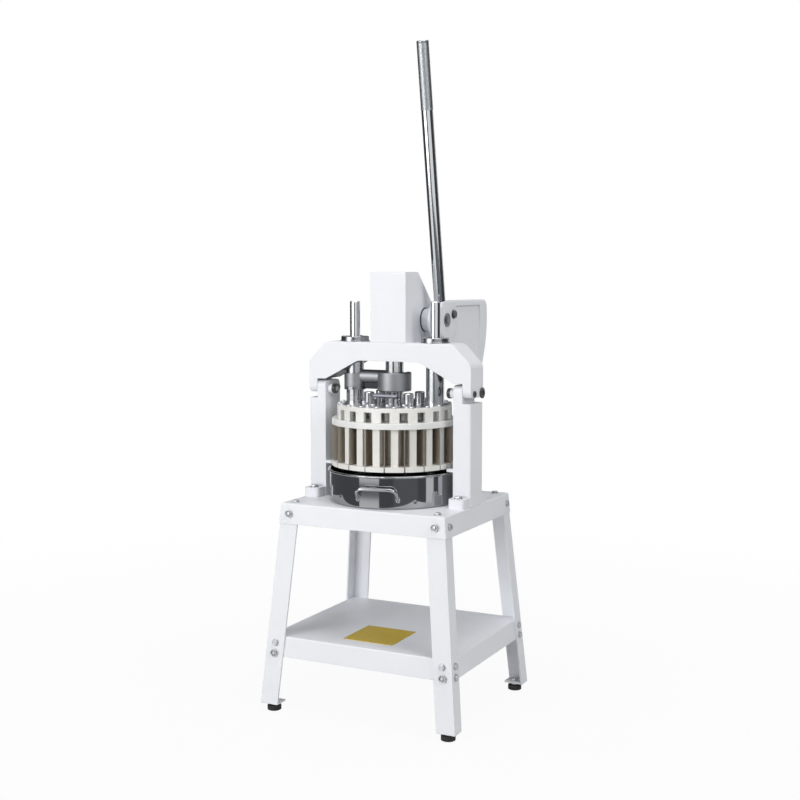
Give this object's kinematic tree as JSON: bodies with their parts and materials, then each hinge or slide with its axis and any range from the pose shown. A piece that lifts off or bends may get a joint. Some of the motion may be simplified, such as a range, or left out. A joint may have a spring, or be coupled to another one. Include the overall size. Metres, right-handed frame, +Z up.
{
  "type": "manual dough divider",
  "caption": "Lever-operated dough divider on a splayed steel stand: a rack and toothed sector press a head of segments and knives down into a round pan.",
  "frame": {"origin": "on the floor under the middle of the table top", "axes": "+Z up, +X to the operator's right (lever side), -Y towards the operator"},
  "size_m": [0.5036, 0.5195, 1.5516],
  "materials": {
    "white_enamel": "gloss enamel",
    "grey_enamel": "satin enamel on cast iron",
    "zinc_plated_steel": "zinc plated",
    "polished_steel": "ground and polished",
    "satin_steel": "turned",
    "turned_aluminium": "turned",
    "knurled_steel": "fine knurl",
    "knife_steel": "ground blades",
    "polished_stainless": "mirror polished",
    "ivory_coated_aluminium": "ivory coating",
    "ivory_plastic": "machined acetal",
    "cast_aluminium": "satin casting",
    "black_plastic": "moulded",
    "black_steel": "black oxide",
    "bronze": "bearing bronze",
    "black_rubber": "moulded"
  },
  "bodies": {
    "base": {"stand_top": "white_enamel", "leg_front_left": "white_enamel", "leg_front_right": "white_enamel", "leg_rear_left": "white_enamel", "leg_rear_right": "white_enamel", "lower_shelf": "white_enamel", "stand_bolts": "zinc_plated_steel", "table_top_bolts": "zinc_plated_steel", "column_bolts": "zinc_plated_steel", "feet": "black_rubber", "foot_studs": "zinc_plated_steel", "column_left": "white_enamel", "column_right": "white_enamel", "hinge_pins": "zinc_plated_steel", "clamp_studs": "zinc_plated_steel"},
    "bridge": {"bridge": "white_enamel", "guide_bush_left": "satin_steel", "guide_bush_right": "satin_steel", "bush_screws": "zinc_plated_steel", "rack_housing": "white_enamel", "housing_cover": "white_enamel", "cover_screws": "zinc_plated_steel", "housing_screws": "zinc_plated_steel", "rack_guide": "bronze", "shaft_bushes": "bronze"},
    "lever": {"toothed_sector": "satin_steel", "lever_shaft": "polished_steel", "shaft_collar": "satin_steel", "counterweight_arm": "grey_enamel", "lever_bar": "polished_steel", "lever_grip": "knurled_steel", "arm_clamp_bolt": "zinc_plated_steel", "shaft_end_screw": "black_steel"},
    "carriage": {"rack": "polished_steel", "guide_rod_left": "polished_steel", "guide_rod_right": "polished_steel", "guide_sleeves": "turned_aluminium", "press_guides": "turned_aluminium", "knife_carrier": "ivory_coated_aluminium", "outer_blades": "knife_steel", "middle_blades": "knife_steel", "inner_blades": "knife_steel", "outer_knife_ring": "knife_steel", "inner_knife_ring": "knife_steel", "arm_collar": "satin_steel"},
    "press": {"press_ring": "ivory_plastic", "press_plate": "turned_aluminium", "outer_segments": "ivory_plastic", "middle_segments": "ivory_plastic", "inner_segments": "ivory_plastic", "ring_bolts": "zinc_plated_steel", "press_plate_bolts": "zinc_plated_steel", "inner_screws": "zinc_plated_steel", "lift_studs": "polished_steel"},
    "arm": {"lock_arm": "cast_aluminium"},
    "knob_left": {"clamp_knob_left": "black_plastic"},
    "knob_right": {"clamp_knob_right": "black_plastic"},
    "pan": {"dough_pan": "polished_stainless", "pan_handle_front": "polished_stainless", "pan_handle_rear": "polished_stainless"}
  },
  "joints": [
    {"name": "head_tilt", "type": "hinge", "parent": "base", "child": "bridge", "pos_m": [0, 0.011, 0.753], "axis": [-1, 0, 0], "range_deg": [0, 70]},
    {"name": "head_slide", "type": "slide", "parent": "bridge", "child": "carriage", "axis": [0, 0, -1], "range_m": [0, 0.078]},
    {"name": "lever_swing", "type": "hinge", "parent": "bridge", "child": "lever", "pos_m": [0, 0.056, 0.918], "axis": [1, 0, 0], "range_deg": [0, 79.9]},
    {"name": "press_slide", "type": "slide", "parent": "carriage", "child": "press", "axis": [0, 0, 1], "range_m": [0, 0.024]},
    {"name": "arm_swing", "type": "hinge", "parent": "carriage", "child": "arm", "pos_m": [-0.106, -0.015, 0.775], "axis": [0, 0, -1], "range_deg": [0, 60]},
    {"name": "knob_left_turn", "type": "hinge", "parent": "base", "child": "knob_left", "pos_m": [-0.15, -0.0315, 0.753], "axis": [1, 0, 0], "range_deg": [0, 360]},
    {"name": "knob_right_turn", "type": "hinge", "parent": "base", "child": "knob_right", "pos_m": [0.15, -0.0315, 0.753], "axis": [-1, 0, 0], "range_deg": [0, 360]},
    {"name": "pan_slide", "type": "slide", "parent": "base", "child": "pan", "axis": [0, -1, 0], "range_m": [0, 0.35]}
  ],
  "couplings": [
    {"joint": "lever_swing", "follows": "head_slide", "rad_per_m": 17.857}
  ]
}
